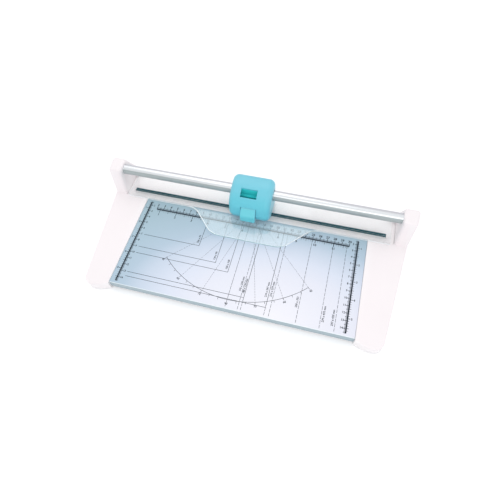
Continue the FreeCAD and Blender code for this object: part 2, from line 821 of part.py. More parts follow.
def head_carriage():
    """The block that rides the rail, open in the middle for the blade, with a screen under the window."""
    block = box("carriage_block", (-cheek_out, cheek_out), carriage_y, (carriage_low, bed_top + 43))
    screen = box("carriage_screen", around(as_length(0), cheek_in + 1), (cut_y + 1.9, cut_y + 3.4),
                 (bed_top + 36, head_top))
    trim = box("carriage_trim", (-cheek_out - 1, cheek_out + 1), (cut_y - 15, cut_y + 2),
               (bed_top + 38.2, bed_top + 50))
    well = box("carriage_well", (-cheek_in, cheek_in), (cut_y - 15, cut_y + 19), (head_low, bed_top + 35.2))
    slit = box("carriage_slit", (-cheek_in, cheek_in), (cut_y - 15, cut_y - 1.5), (bed_top + 35, bed_top + 39))
    gap = box("carriage_gap", (-cheek_in, cheek_in), (cut_y + 3.4, cut_y + 19), (bed_top + 30, bed_top + 50))
    bore = rod("carriage_bore", "x", bush_radius, (-cheek_out - 1, cheek_out + 1), (rail_y, rail_z))
    away = [well, slit, gap, bore]
    for side in (-1, 1):
        groove_x = ordered(side, cheek_in - 1, cheek_in + 3.4)
        away.append(box(f"carriage_groove_{side + 1}", groove_x, around(guide_y, 2), (head_low, tongue_top + 0.3)))
    for i, (x, z) in enumerate(head_screw_places):
        away.append(rod(f"carriage_pilot_{i}", "y", pilot, (cut_y + 18, cut_y + 25), (as_length(x), z)))
    for i, place in enumerate(cover_plate_places):
        away.append(rod(f"carriage_foot_pilot_{i}", "z", pilot, (head_low, head_low + 12), place))
    room = head_form("carriage_room", room_inset, head_low - 3)
    body = fuse("carriage_whole", [cut("carriage_step", block, [trim]), screen])
    keep("head_carriage", common("carriage_fit", cut("carriage", body, away), room))
    bushes = []
    for side, word in ((-1, "left"), (1, "right")):
        span = ordered(side, cheek_out - s.bush_length, cheek_out)
        sleeve = rod(f"{word}_bush_sleeve", "x", bush_radius, span, (rail_y, rail_z))
        inside = rod(f"{word}_bush_bore", "x", s.rail_radius + s.fit_gap, (span[0] - 1, span[1] + 1), (rail_y, rail_z))
        key_z = (rail_z - s.rail_radius - 0.6, rail_z - s.rail_radius + s.key_depth - 0.3)
        key = box(f"{word}_bush_key", span, around(rail_y, s.key_width / 2 - 0.3), key_z)
        bushes.append(fuse(f"{word}_bush", [cut(f"{word}_bush_ring", sleeve, [inside]), key]))
    keep("glide_bushes", group("bush_group", bushes))


def head_cover():
    """The plate under the head, with its opening for the blade and the carrier."""
    half = s.head_width / 2 - room_inset
    top = head_low + s.head_wall
    plate_y = (cut_y - 17, cut_y + s.head_rear - room_inset)
    plate = box("head_plate", (-half, half), plate_y, (head_low + 0.2, top + 0.2))
    opening = box("head_plate_opening", (-cheek_in, cheek_in), (cut_y - 18, cut_y + 4), (head_low - 1, top + 1))
    away = [opening]
    for i, place in enumerate(cover_plate_places):
        away.append(rod(f"head_plate_hole_{i}", "z", s.screw_radius + 0.1, (head_low - 1, top + 1), place))
        away.append(rod(f"head_plate_sink_{i}", "z", 2.6, (head_low - 1, head_low + 1.3), place))
    room = head_form("head_plate_room", room_inset, head_low - 3)
    keep("head_bottom_cover", common("head_plate_fit", cut("head_cover", plate, away), room))
    screws = []
    for i, place in enumerate(cover_plate_places):
        screws.append(screw(f"head_foot_screw_{i}", "z", 1, head_low + 1.3, place, 9, head=2.4 + 0 * s.seam))
    keep("head_cover_screws", group("head_foot_screw_group", screws))
    rear = cut_y + s.head_rear
    keep("head_shell_screws", group("head_screw_group", [
        screw(f"head_screw_{i}", "y", -1, rear - 0.9, (as_length(x), z), 7)
        for i, (x, z) in enumerate(head_screw_places)
    ]))


def blade_carrier():
    """The block that slides down in the carriage with the blade's axle, and its lever."""
    side_play = s.seam
    wide = cheek_in - side_play
    carrier_y = (cut_y - 13, cut_y - 2.5)
    upper = box("carrier_upper", (-wide, wide), carrier_y, (bed_top + 23, tongue_top))
    lower = box("carrier_lower", (-as_length(7), as_length(7)), carrier_y, (bed_top + 14.5, bed_top + 24))
    parts = [upper, lower]
    for side in (-1, 1):
        tongue_x = ordered(side, wide - 1, cheek_in + 3.1)
        parts.append(box(f"carrier_tongue_{side + 1}", tongue_x, around(guide_y, 1.7), (bed_top + 25, tongue_top)))
    whole = fuse("carrier_whole", parts)
    lever_screw_z = bed_top + 28.5
    away = [
        rod("carrier_axle_hole", "y", s.axle_radius, (cut_y - 11, cut_y), (as_length(0), blade_z)),
        rod("carrier_screw_hole", "y", s.screw_radius, (cut_y - 14, cut_y), (as_length(0), lever_screw_z)),
        rod("carrier_screw_sink", "y", 3, (cut_y - 4.3, cut_y), (as_length(0), lever_screw_z)),
    ]
    keep("blade_carrier", cut("carrier", whole, away))
    body = doc.addObject("PartDesign::Body", "lever_body")
    foot = bed_top + s.lever_foot
    top = bed_top + s.lever_top
    tip = cut_y - s.lever_front
    back = cut_y - 13
    points = [(back, foot + 4), (tip + 7, foot), (tip, foot), (tip, foot + 11.5), (tip + 8, top - 1.2),
              (tip + 10, top), (back, top)]
    profile = outline(body, "lever_side", "YZ_Plane", points, -lever_half)
    pad(body, "lever_block", profile, s.tab_width)

    def tip_edge(height):
        def wanted(edge):
            room = edge.BoundBox
            return room.XLength > float(lever_half) and is_near(room.YMin, tip) and is_near(room.ZMin, height)

        return wanted

    def outer_edges(edge):
        room = edge.BoundBox
        return room.YMin < float(tip) + 7 and room.XLength < 0.01

    fillet(body, "lever_brow", tip_edge(foot + 11.5), 4)
    fillet(body, "lever_chin", tip_edge(foot), 2.2)
    fillet(body, "lever_round", outer_edges, 1.6)
    thread = rod("lever_thread", "y", pilot, (cut_y - 18.8, cut_y - 12), (as_length(0), lever_screw_z))
    keep("press_lever", cut("lever", body, [thread]))
    keep("press_lever_screw", screw("lever_screw", "y", -1, cut_y - 4.3, (as_length(0), lever_screw_z), 14))
    axle = rod("axle_pin", "y", s.axle_radius, (cut_y - 11, cut_y + 3.4), (as_length(0), blade_z))
    neck = rod("axle_neck", "y", s.axle_radius + 1, (cut_y + 1.9, cut_y + 2.5), (as_length(0), blade_z))
    core = rod("axle_core", "y", s.axle_radius - 0.4, (cut_y + 1.5, cut_y + 3), (as_length(0), blade_z))
    keep("blade_axle", cut("axle", axle, [cut("axle_groove", neck, [core])]))
    ring = rod("clip_ring", "y", s.axle_radius + 1.6, (cut_y + 1.9, cut_y + 2.5), (as_length(0), blade_z))
    bite = rod("clip_bite", "y", s.axle_radius - 0.4, (cut_y + 1, cut_y + 3), (as_length(0), blade_z))
    mouth = box("clip_mouth", around(as_length(0), 1.3), (cut_y + 1, cut_y + 3), (blade_z - 6, blade_z - 0.5))
    keep("axle_clip", cut("clip", ring, [bite, mouth]))
    springs = []
    low = float(head_low + s.head_wall + 0.2) + float(s.spring_wire) / 2
    high = float(bed_top) + 25 - float(s.seam) - float(s.spring_wire) / 2
    for side, word in ((-1, "left"), (1, "right")):
        place = (side * (float(cheek_in) + 1.7), float(guide_y), 0)
        springs.append(helix(f"{word}_return", float(s.spring_radius) - 0.1, float(s.spring_wire), low, high,
                             int(float(s.spring_turns)), place))
    keep("return_springs", group("return_group", springs))


def blade():
    """The rotary blade with its hub, which turn together on the axle."""
    at_axle = (as_length(0), blade_z)
    half = s.blade_sheet / 2
    body = doc.addObject("PartDesign::Body", "blade_disc")
    rim = s.blade_radius
    bevel = 1.2
    section = [
        (s.hub_core, cut_y - half), (rim - bevel, cut_y - half), (rim, cut_y), (rim - bevel, cut_y + half),
        (s.hub_core, cut_y + half),
    ]
    sketch = outline(body, "blade_section", "XY_Plane", section)
    turn = body.newObject("PartDesign::Revolution", "blade_turn")
    turn.Profile = sketch
    turn.ReferenceAxis = (sketch, ["V_Axis"])
    turn.Angle = 360
    doc.recompute()
    bind(body, "Placement.Base.z", blade_z)
    keep("rotary_blade", body)
    flange = rod("hub_flange", "y", s.hub_radius, (cut_y - 2.1, cut_y - half), at_axle)
    core = rod("hub_core_rod", "y", s.hub_core, (cut_y - 2.1, cut_y + half + 0.8), at_axle)
    bore = rod("hub_bore", "y", s.axle_radius + s.fit_gap, (cut_y - 3, cut_y + 3), at_axle)
    keep("blade_hub", cut("hub", fuse("hub_whole", [flange, core]), [bore]))
    ring = rod("clamp_disc", "y", s.hub_radius - 0.5, (cut_y + half, cut_y + half + 1), at_axle)
    eye = rod("clamp_eye", "y", s.hub_core, (cut_y, cut_y + 3), at_axle)
    keep("blade_clamp_ring", cut("clamp", ring, [eye]))


for side, word in ((-1, "left"), (1, "right")):
    casing(side, word)
    bottom_cover(side, word)
bed()
beam()
rail()
base_fasteners()
guard()
guard_springs()
fixed = len(nodes)
head_shell()
head_carriage()
head_cover()
blade_carrier()
blade()
for thing in nodes[fixed:]:
    bind(thing, "Placement.Base.x", s.head_at)
doc.recompute()

for thing in doc.Objects:
    if "Invalid" in thing.State or "Error" in thing.State:
        raise RuntimeError(f"{thing.Name} has failed: {thing.State}")
for thing in nodes:
    if thing.Shape.isNull() or not thing.Shape.isValid():
        raise RuntimeError(f"{thing.Label} is not a valid shape")

os.makedirs("parts", exist_ok=True)
for thing in nodes:
    thing.Shape.exportStep(f"parts/{thing.Label}.step")
    room = thing.Shape.BoundBox
    print(thing.Label, len(thing.Shape.Solids), round(thing.Shape.Volume),
          [round(v, 2) for v in (room.XMin, room.XMax, room.YMin, room.YMax, room.ZMin, room.ZMax)])
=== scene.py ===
import math
import bmesh
import bpy
import numpy as np
from mathutils import Matrix, Vector


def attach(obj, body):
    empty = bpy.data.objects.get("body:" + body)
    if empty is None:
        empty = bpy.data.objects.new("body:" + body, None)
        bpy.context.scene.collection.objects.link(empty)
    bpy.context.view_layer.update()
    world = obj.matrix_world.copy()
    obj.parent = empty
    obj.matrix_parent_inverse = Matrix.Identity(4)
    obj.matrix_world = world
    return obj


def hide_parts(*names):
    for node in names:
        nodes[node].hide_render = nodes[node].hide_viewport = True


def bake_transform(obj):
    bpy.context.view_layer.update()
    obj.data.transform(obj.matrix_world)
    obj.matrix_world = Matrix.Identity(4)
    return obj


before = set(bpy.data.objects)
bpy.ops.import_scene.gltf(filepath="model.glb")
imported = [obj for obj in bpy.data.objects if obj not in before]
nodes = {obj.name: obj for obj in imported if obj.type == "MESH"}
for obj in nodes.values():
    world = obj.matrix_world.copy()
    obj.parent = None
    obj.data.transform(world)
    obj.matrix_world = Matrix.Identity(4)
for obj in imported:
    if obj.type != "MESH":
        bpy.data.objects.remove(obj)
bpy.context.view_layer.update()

scene = bpy.context.scene
scene.view_settings.view_transform = "Standard"
mm = 0.001
print("stage: frame loaded,", len(nodes), "nodes")


# Camera, solved from the bed's rulers: where it stands and its three directions
camera = {
    "place": (0.09219, -0.24879, 0.46949),
    "right": (0.96722, 0.25042, -0.04222),
    "up": (-0.197887, 0.847389, 0.492731),
    "back": (0.15917, -0.46822, 0.86916),
    "lens": 27.66,
    "sensor": 36.0,
    "near": 0.01,
    "far": 20,
}


def placeCamera(c):
    data = bpy.data.cameras.new("camera")
    data.sensor_width = c["sensor"]
    data.sensor_fit = "HORIZONTAL"
    data.lens = c["lens"]
    data.clip_start = c["near"]
    data.clip_end = c["far"]
    holder = bpy.data.objects.new("camera", data)
    turn = Matrix((c["right"], c["up"], c["back"])).transposed()
    holder.matrix_world = Matrix.Translation(c["place"]) @ turn.to_4x4()
    scene.collection.objects.link(holder)
    scene.camera = holder


placeCamera(camera)


# Shader nodes. A value goes on a socket as it is, another node's output is linked to it.

def addNode(tree, kind, sockets=None, **settings):
    made = tree.nodes.new("ShaderNode" + kind)
    for name, setting in settings.items():
        setattr(made, name, setting)
    for socket, value in (sockets or {}).items():
        if isinstance(value, bpy.types.NodeSocket):
            tree.links.new(value, made.inputs[socket])
        else:
            made.inputs[socket].default_value = value
    return made


def calculate(tree, operation, first, second=0.0, clamped=False):
    made = addNode(tree, "Math", {0: first, 1: second}, operation=operation, use_clamp=clamped)
    return made.outputs[0]


def remap(tree, value, low, high, span=(0.0, 1.0)):
    # from the two ends of a span to low and high, and no further
    sockets = {"Value": value, "From Min": span[0], "From Max": span[1], "To Min": low, "To Max": high}
    return addNode(tree, "MapRange", sockets).outputs["Result"]


def partOf(tree, vector, axis):
    return addNode(tree, "SeparateXYZ", {0: vector}).outputs[axis]


def objectPlace(tree):
    return addNode(tree, "TexCoord").outputs["Object"]


def geometryOf(tree, output):
    return addNode(tree, "NewGeometry").outputs[output]


def opaque(colour):
    return (*colour, 1)


def ramp(tree, value, stops):
    made = addNode(tree, "ValToRGB", {"Fac": value})
    elements = made.color_ramp.elements
    while len(elements) < len(stops):
        elements.new(0.5)
    for element, (position, colour) in zip(elements, stops):
        element.position = position
        element.color = opaque(colour)
    return made.outputs["Color"]


def mixColours(tree, factor, first, second):
    # a colour is three numbers or another node's output; a mix of colours uses sockets 0, 6 and 7
    first, second = [opaque(value) if isinstance(value, tuple) else value for value in (first, second)]
    return addNode(tree, "Mix", {0: factor, 6: first, 7: second}, data_type="RGBA").outputs[2]


def mixShaders(tree, factor, first, second):
    return addNode(tree, "MixShader", {0: factor, 1: first, 2: second}).outputs[0]


def noiseValue(tree, scale, detail=2.0, stretch=None):
    # a noise on Object coordinates, stretched along an axis where asked
    place = objectPlace(tree)
    if stretch:
        place = addNode(tree, "Mapping", {"Vector": place, "Scale": stretch}).outputs["Vector"]
    return addNode(tree, "TexNoise", {"Vector": place, "Scale": scale, "Detail": detail}).outputs["Fac"]


def seenDirectly(tree):
    # 1 for rays from the camera, from gloss and through clear plastic, 0 for lighting rays
    path = addNode(tree, "LightPath")
    seen = path.outputs["Is Camera Ray"]
    for ray in ("Is Glossy Ray", "Is Transmission Ray"):
        seen = calculate(tree, "MAXIMUM", seen, path.outputs[ray])
    return calculate(tree, "SUBTRACT", seen, path.outputs["Diffuse Depth"], clamped=True)


def newMaterial(name):
    material = bpy.data.materials.new(name)
    material.use_nodes = True
    return material, material.node_tree, material.node_tree.nodes["Principled BSDF"]


def showSurface(tree, shader):
    tree.links.new(shader, tree.nodes["Material Output"].inputs["Surface"])


# Studio: pale floor, white surround for what the camera and gloss see, soft lamps
studio = {
    "floorSize": 6.0,
    "floorColour": (0.86, 0.86, 0.87),
    "floorRoughness": 0.9,
    "floorGlow": 0.22,
    "worldLevel": 0.92,
    "worldColour": (0.98, 0.99, 1.0),
    # what gloss sees, from the front horizon to the rear one
    "glossSky": [(0.0, 0.75), (0.3, 0.88), (0.45, 1.0), (0.8, 1.0), (1.0, 0.85)],
    "lamps": [  # place, aim, size, watts, colour
        ((-0.3, 0.5, 1.1), (0, 0, 0), 0.9, 1.9, (1.0, 0.99, 0.98)),
        ((0.35, -0.95, 0.75), (0, 0, 0.03), 1.0, 2.7, (1.0, 0.985, 0.985)),
    ],
}


def setLamps(s):
    for number, (place, aim, size, watts, colour) in enumerate(s["lamps"]):
        data = bpy.data.lights.new(f"lamp{number}", "AREA")
        data.shape = "SQUARE"
        data.size = size
        data.energy = watts
        data.color = colour
        lamp = bpy.data.objects.new(f"lamp{number}", data)
        lamp.location = place
        lamp.visible_transmission = False  # its light passes clear plastic as shadow rays do
        lamp.rotation_euler = (Vector(aim) - Vector(place)).to_track_quat("-Z", "Y").to_euler()
        scene.collection.objects.link(lamp)


def setWorld(s):
    world = bpy.data.worlds.new("studio")
    scene.world = world
    world.use_nodes = True
    tree = world.node_tree
    tree.nodes.clear()
    soft = addNode(tree, "Background", {"Color": opaque(s["worldColour"]), "Strength": s["worldLevel"]})
    direction = addNode(tree, "TexCoord").outputs["Generated"]
    depth = remap(tree, partOf(tree, direction, "Y"), 0.0, 1.0, (-1.0, 1.0))
    sky = ramp(tree, depth, [(place, (level,) * 3) for place, level in s["glossSky"]])
    byCamera = addNode(tree, "LightPath").outputs["Is Camera Ray"]
    white = addNode(tree, "Background", {"Color": mixColours(tree, byCamera, sky, (1, 1, 1))})
    both = mixShaders(tree, seenDirectly(tree), soft.outputs[0], white.outputs[0])
    addNode(tree, "OutputWorld", {"Surface": both})


def layFloor(s):
    # it glows a little where it is seen, and from below it is clear, so that feet and covers can be seen
    half = s["floorSize"] / 2
    mesh = bpy.data.meshes.new("floor")
    corners = [(-half, -half, 0), (half, -half, 0), (half, half, 0), (-half, half, 0)]
    mesh.from_pydata(corners, [], [(0, 1, 2, 3)])
    floor = bpy.data.objects.new("floor", mesh)
    scene.collection.objects.link(floor)
    material, tree, shader = newMaterial("floor")
    shader.inputs["Base Color"].default_value = opaque(s["floorColour"])
    shader.inputs["Roughness"].default_value = s["floorRoughness"]
    shader.inputs["Specular IOR Level"].default_value = 0.0
    shader.inputs["Emission Color"].default_value = (1, 1, 1, 1)
    glow = calculate(tree, "MULTIPLY", seenDirectly(tree), s["floorGlow"])
    tree.links.new(glow, shader.inputs["Emission Strength"])
    clear = addNode(tree, "BsdfTransparent").outputs[0]
    showSurface(tree, mixShaders(tree, geometryOf(tree, "Backfacing"), shader.outputs[0], clear))
    mesh.materials.append(material)


setLamps(studio)
setWorld(studio)
layFloor(studio)
print("stage: camera, lamps and floor")


# Materials

def addBump(tree, shader, height, strength, depth):
    bump = addNode(tree, "Bump", {"Strength": strength, "Distance": depth, "Height": height})
    tree.links.new(bump.outputs["Normal"], shader.inputs["Normal"])


def facing(tree, stops):
    # a share from 0 to 1 by where the surface faces: -1 to the rear, 0 up or sideways, 1 to the front
    turned = remap(tree, partOf(tree, geometryOf(tree, "Normal"), "Y"), 0.0, 1.0, (1.0, -1.0))
    return ramp(tree, turned, [((1 + place) / 2, (share,) * 3) for place, share in stops])


def setGloss(tree, shader, value, middle, below, above):
    # roughness that wanders round the middle with a noise
    tree.links.new(remap(tree, value, middle - below, middle + above), shader.inputs["Roughness"])


plainPlastic = {
    "clouds": 18, "cloudSpan": (0.3, 0.7), "wear": (0.53, 0.6), "frontFrom": [(0.25, 0), (0.8, 1)],
    "grain": 2600, "grainStrength": 0.25, "grainDepth": 0.00005,
    "sheen": 60, "sheenSwing": 0.05, "specular": 0.45, "coatRoughness": 0.15,
}


def mouldedPlastic(name, own):
    # cloudy colour, fine spark-eroded grain and a slightly uneven gloss, paler on worn outer edges, with painted
    # shade on faces turned to the front where asked
    p = {**plainPlastic, **own}
    material, tree, shader = newMaterial(name)
    low, high = p["cloudSpan"]
    tinted = ramp(tree, noiseValue(tree, p["clouds"], 3), [(low, p["shade"]), (high, p["colour"])])
    if "edge" in p:  # where the mesh is pointed
        worn = remap(tree, geometryOf(tree, "Pointiness"), 0.0, 1.0, p["wear"])
        tinted = mixColours(tree, worn, tinted, p["edge"])
    if "front" in p:  # painted shade: deeper where it faces the front
        tinted = mixColours(tree, facing(tree, p["frontFrom"]), tinted, p["front"])
    tree.links.new(tinted, shader.inputs["Base Color"])
    setGloss(tree, shader, noiseValue(tree, p["sheen"]), p["gloss"], p["sheenSwing"], p["sheenSwing"])
    addBump(tree, shader, noiseValue(tree, p["grain"]), p["grainStrength"], p["grainDepth"])
    shader.inputs["Specular IOR Level"].default_value = p["specular"]
    if "coat" in p:
        shader.inputs["Coat Weight"].default_value = p["coat"]
        shader.inputs["Coat Roughness"].default_value = p["coatRoughness"]
    return material


plainSteel = {
    "shadeSpan": (0.25, 0.75), "glossBelow": 0.06, "glossAbove": 0.08, "relief": 0.2, "reliefDepth": 0.00003,
    "backFrom": [(-0.6, 1), (0.4, 0)], "undersideFrom": [(0.7, 0), (0.78, 1)], "undersideMetal": 0.3,
}


def drawnMetal(name, own):
    # drawn or turned steel: long fine streaks along one axis, in colour, gloss and relief, with painted shade on
    # the underside and the upper rear edge where asked
    p = {**plainSteel, **own}
    material, tree, shader = newMaterial(name)
    streaks = noiseValue(tree, p["streaks"], 4, p["stretch"])
    low, high = p["shadeSpan"]
    colour = ramp(tree, streaks, [(low, p["shade"]), (high, p["colour"])])
    shader.inputs["Metallic"].default_value = 1.0
    if "underside" in p:  # painted shade: the lower front darker and less metallic, the upper rear edge greyer
        under = facing(tree, p["undersideFrom"])
        colour = mixColours(tree, facing(tree, p["backFrom"]), colour, p["back"])
        colour = mixColours(tree, under, colour, p["underside"])
        tree.links.new(remap(tree, under, 1.0, p["undersideMetal"]), shader.inputs["Metallic"])
    tree.links.new(colour, shader.inputs["Base Color"])
    setGloss(tree, shader, streaks, p["gloss"], p["glossBelow"], p["glossAbove"])
    addBump(tree, shader, streaks, p["relief"], p["reliefDepth"])
    return material


def enamel(name, p):
    # enamelled sheet with orange peel: a painted reflection pales it round one place, a painted highlight runs
    # along its bend, and painted shade makes the front lip greyer
    material, tree, shader = newMaterial(name)
    scale = [1 / reach for reach in p["reach"]]
    shift = [-centre * each for centre, each in zip(p["centre"], scale)]
    spread = addNode(tree, "Mapping", {
        "Vector": objectPlace(tree), "Scale": (*scale, 0), "Location": (*shift, 0)})
    away = addNode(tree, "VectorMath", {0: spread.outputs["Vector"]}, operation="LENGTH")
    # painted reflection: the colour pales round one place and deepens with distance from it
    fade = ramp(tree, away.outputs["Value"], p["fade"])
    clouds = remap(tree, noiseValue(tree, p["clouds"], 3), 0.0, p["cloudShare"])
    tinted = mixColours(tree, clouds, fade, p["cloud"])
    # painted highlight: a pale line where the surface turns down along the bend
    lined = mixColours(tree, facing(tree, p["bendFrom"]), tinted, p["bend"])
    # painted shade: the front-facing lip greyer
    lip = mixColours(tree, facing(tree, p["lipFrom"]), lined, p["lip"])
    tree.links.new(lip, shader.inputs["Base Color"])
    setGloss(tree, shader, noiseValue(tree, p["sheen"]), p["gloss"], p["glossBelow"], p["glossAbove"])
    addBump(tree, shader, noiseValue(tree, p["peel"]), p["peelStrength"], p["peelDepth"])
    shader.inputs["Specular IOR Level"].default_value = p["specular"]
    shader.inputs["Coat Weight"].default_value = p["coat"]
    shader.inputs["Coat Roughness"].default_value = p["coatRoughness"]
    return material


def clearPlastic(name, p):
    # polished clear sheet that lets the lamps through, its hand tab finely frosted with a pale cyan tint that is
    # a painted reflection of the head, its sawn edges paler and partly a painted highlight, and its front edge
    # on the tab a painted dark teal reflection
    material, tree, shader = newMaterial(name)
    shader.inputs["Base Color"].default_value = opaque(p["colour"])
    shader.inputs["Transmission Weight"].default_value = 1.0
    shader.inputs["IOR"].default_value = p["ior"]
    setGloss(tree, shader, noiseValue(tree, p["sheen"]), p["gloss"], 0.0, p["glossAbove"])
    addBump(tree, shader, noiseValue(tree, p["ripple"], 1), p["rippleStrength"], p["rippleDepth"])
    onTab = remap(tree, partOf(tree, objectPlace(tree), "Y"), 1.0, 0.0, p["tabFrom"])
    # frost on the tab; its pale cyan tint is a painted reflection of the head
    veil = addNode(tree, "BsdfDiffuse", {"Color": opaque(p["frostColour"])})
    sheet = mixShaders(tree, remap(tree, onTab, *p["frost"]), shader.outputs[0], veil.outputs[0])
    # painted reflection: the tab's front edge dark teal
    ahead = calculate(tree, "MULTIPLY", facing(tree, p["aheadFrom"]), onTab)
    # sawn edges paler, partly a painted highlight
    edge = addNode(tree, "BsdfPrincipled", {
        "Base Color": mixColours(tree, ahead, p["edgeColour"], p["frontEdge"]), "Roughness": p["edgeRoughness"]})
    level = calculate(tree, "ABSOLUTE", partOf(tree, geometryOf(tree, "True Normal"), "Z"))
    atEdge = remap(tree, level, p["edgeShare"], 0.0, p["edgeSpan"])
    body = mixShaders(tree, atEdge, sheet, edge.outputs[0])
    path = addNode(tree, "LightPath")
    lighting = calculate(tree, "MAXIMUM", path.outputs["Is Shadow Ray"], path.outputs["Is Diffuse Ray"])
    through = addNode(tree, "BsdfTransparent", {"Color": opaque(p["shadow"])})
    showSurface(tree, mixShaders(tree, lighting, body, through.outputs[0]))
    return material


finishes = {
    "casing": mouldedPlastic("casingPlastic", {
        "colour": (0.92, 0.865, 0.88), "shade": (0.905, 0.85, 0.865), "edge": (0.94, 0.91, 0.92),
        "gloss": 0.42, "grain": 1800, "grainStrength": 0.2}),
    "beam": mouldedPlastic("beamPlastic", {
        "colour": (0.965, 0.9, 0.905), "shade": (0.95, 0.885, 0.89), "edge": (0.97, 0.93, 0.935),
        "gloss": 0.4}),
    # the bed's fade is a painted reflection, its bend colour a painted highlight, its lip colour painted shade
    "bed": enamel("bedEnamel", {
        "centre": (0.06, -0.09), "reach": (0.28, 0.168),
        "fade": [(0.0, (0.88, 0.865, 0.92)), (0.36, (0.78, 0.79, 0.88)), (0.5, (0.70, 0.745, 0.86)),
                 (0.64, (0.56, 0.645, 0.765)), (0.72, (0.44, 0.56, 0.675)), (0.82, (0.395, 0.53, 0.63)),
                 (1.0, (0.35, 0.495, 0.575))],
        "clouds": 9, "cloud": (0.6, 0.7, 0.8), "cloudShare": 0.1,
        "bend": (0.86, 0.93, 0.95), "bendFrom": [(0.25, 0), (0.45, 1), (0.7, 1), (0.85, 0)],
        "lip": (0.36, 0.46, 0.51), "lipFrom": [(0.75, 0), (0.92, 1)],
        "gloss": 0.34, "glossBelow": 0.04, "glossAbove": 0.06, "sheen": 40, "specular": 0.4,
        "peel": 900, "peelStrength": 0.12, "peelDepth": 0.00004, "coat": 0.05, "coatRoughness": 0.2}),
    "channel": drawnMetal("channelSteel", {
        "colour": (0.62, 0.64, 0.65), "shade": (0.5, 0.52, 0.53), "gloss": 0.38, "streaks": 500,
        "stretch": (0.05, 1, 1)}),
    "mat": mouldedPlastic("matPlastic", {
        "colour": (0.93, 0.89, 0.89), "shade": (0.9, 0.86, 0.86), "edge": (0.95, 0.92, 0.92), "gloss": 0.6}),
    # the rail's underside and back colours are painted shade
    "rail": drawnMetal("railSteel", {
        "colour": (0.84, 0.87, 0.89), "shade": (0.78, 0.81, 0.84), "gloss": 0.28, "streaks": 900,
        "stretch": (0.03, 1, 1), "underside": (0.4, 0.455, 0.46), "back": (0.57, 0.565, 0.61)}),
    "zinc": drawnMetal("zincSteel", {
        "colour": (0.68, 0.69, 0.7), "shade": (0.55, 0.56, 0.58), "gloss": 0.35, "streaks": 1500,
        "stretch": (1, 1, 1)}),
    "wire": drawnMetal("springWire", {
        "colour": (0.55, 0.56, 0.58), "shade": (0.42, 0.43, 0.45), "gloss": 0.3, "streaks": 1200,
        "stretch": (1, 1, 1)}),
    "bladeSteel": drawnMetal("bladeSteel", {
        "colour": (0.75, 0.77, 0.78), "shade": (0.62, 0.64, 0.66), "gloss": 0.16, "streaks": 1500,
        "stretch": (1, 0.1, 1)}),
    # the guard's frost tint and front edge colour are painted reflection, its pale edge colour partly a painted
    # highlight
    "guard": clearPlastic("guardPlastic", {
        "colour": (0.985, 0.995, 0.995), "ior": 1.6, "gloss": 0.03, "glossAbove": 0.04, "sheen": 70,
        "ripple": 25, "rippleStrength": 0.05, "rippleDepth": 0.0002,
        "tabFrom": (0.041, 0.044), "frost": (0.02, 0.2), "frostColour": (0.72, 0.86, 0.92),
        "edgeColour": (0.96, 0.99, 1.0), "edgeRoughness": 0.35, "edgeShare": 0.8, "edgeSpan": (0.2, 0.8),
        "frontEdge": (0.4, 0.58, 0.61), "aheadFrom": [(0.75, 0), (0.95, 1)], "shadow": (0.99, 1.0, 1.0)}),
    # pale strips standing for the tab bevel's glint: a painted highlight
    "bevel": mouldedPlastic("polishedBevel", {
        "colour": (0.88, 0.95, 0.97), "shade": (0.8, 0.9, 0.94), "gloss": 0.2}),
    "strip": mouldedPlastic("stripPlastic", {
        "colour": (0.04, 0.125, 0.15), "shade": (0.03, 0.1, 0.12), "gloss": 0.6, "specular": 0.2}),
    # the head's and lever's front colours are painted shade
    "head": mouldedPlastic("headPlastic", {
        "colour": (0.185, 0.585, 0.715), "shade": (0.17, 0.56, 0.69), "front": (0.125, 0.57, 0.69),
        "gloss": 0.33, "grain": 2200, "grainStrength": 0.12, "coat": 0.15}),
    "lever": mouldedPlastic("leverPlastic", {
        "colour": (0.22, 0.635, 0.745), "shade": (0.2, 0.605, 0.715), "front": (0.125, 0.6, 0.69),
        "gloss": 0.35, "grain": 2200, "grainStrength": 0.12}),
    "carriage": mouldedPlastic("carriagePlastic", {
        "colour": (0.05, 0.76, 0.78), "shade": (0.045, 0.72, 0.74), "gloss": 0.45}),
    "bush": mouldedPlastic("bushPlastic", {
        "colour": (0.8, 0.79, 0.76), "shade": (0.74, 0.73, 0.7), "edge": (0.84, 0.83, 0.8), "gloss": 0.5}),
    "rubber": mouldedPlastic("footRubber", {
        "colour": (0.05, 0.05, 0.052), "shade": (0.035, 0.035, 0.037), "edge": (0.08, 0.08, 0.08),
        "gloss": 0.75, "grain": 900, "grainStrength": 0.4, "specular": 0.3}),
    "print": mouldedPlastic("printInk", {
        "colour": (0.02, 0.03, 0.045), "shade": (0.035, 0.045, 0.06),
        "gloss": 0.6, "specular": 0.1, "clouds": 300}),
}

nodeFinish = {
    "casing": ["left_side_casing", "right_side_casing", "left_bottom_cover", "right_bottom_cover",
               "screw_hole_caps"],
    "beam": ["rear_beam", "beam_bottom_cover"],
    "bed": ["bed_plate"],
    "channel": ["bed_stiffeners"],
    "mat": ["cutting_mat"],
    "rail": ["rail"],
    "zinc": ["beam_cover_screws", "cover_screws", "bed_screws", "beam_screws", "rail_end_screws",
             "guard_pivot_pins", "head_cover_screws", "head_shell_screws", "press_lever_screw", "blade_axle"],
    "wire": ["guard_springs", "return_springs", "axle_clip"],
    "bladeSteel": ["rotary_blade"],
    "guard": ["clear_guard"],
    "strip": ["blade_guide_strips"],
    "head": ["head_shell", "head_bottom_cover"],
    "lever": ["press_lever"],
    "carriage": ["head_carriage", "blade_carrier", "blade_hub", "blade_clamp_ring"],
    "bush": ["glide_bushes", "rail_end_plugs"],
    "rubber": ["rubber_feet"],
}


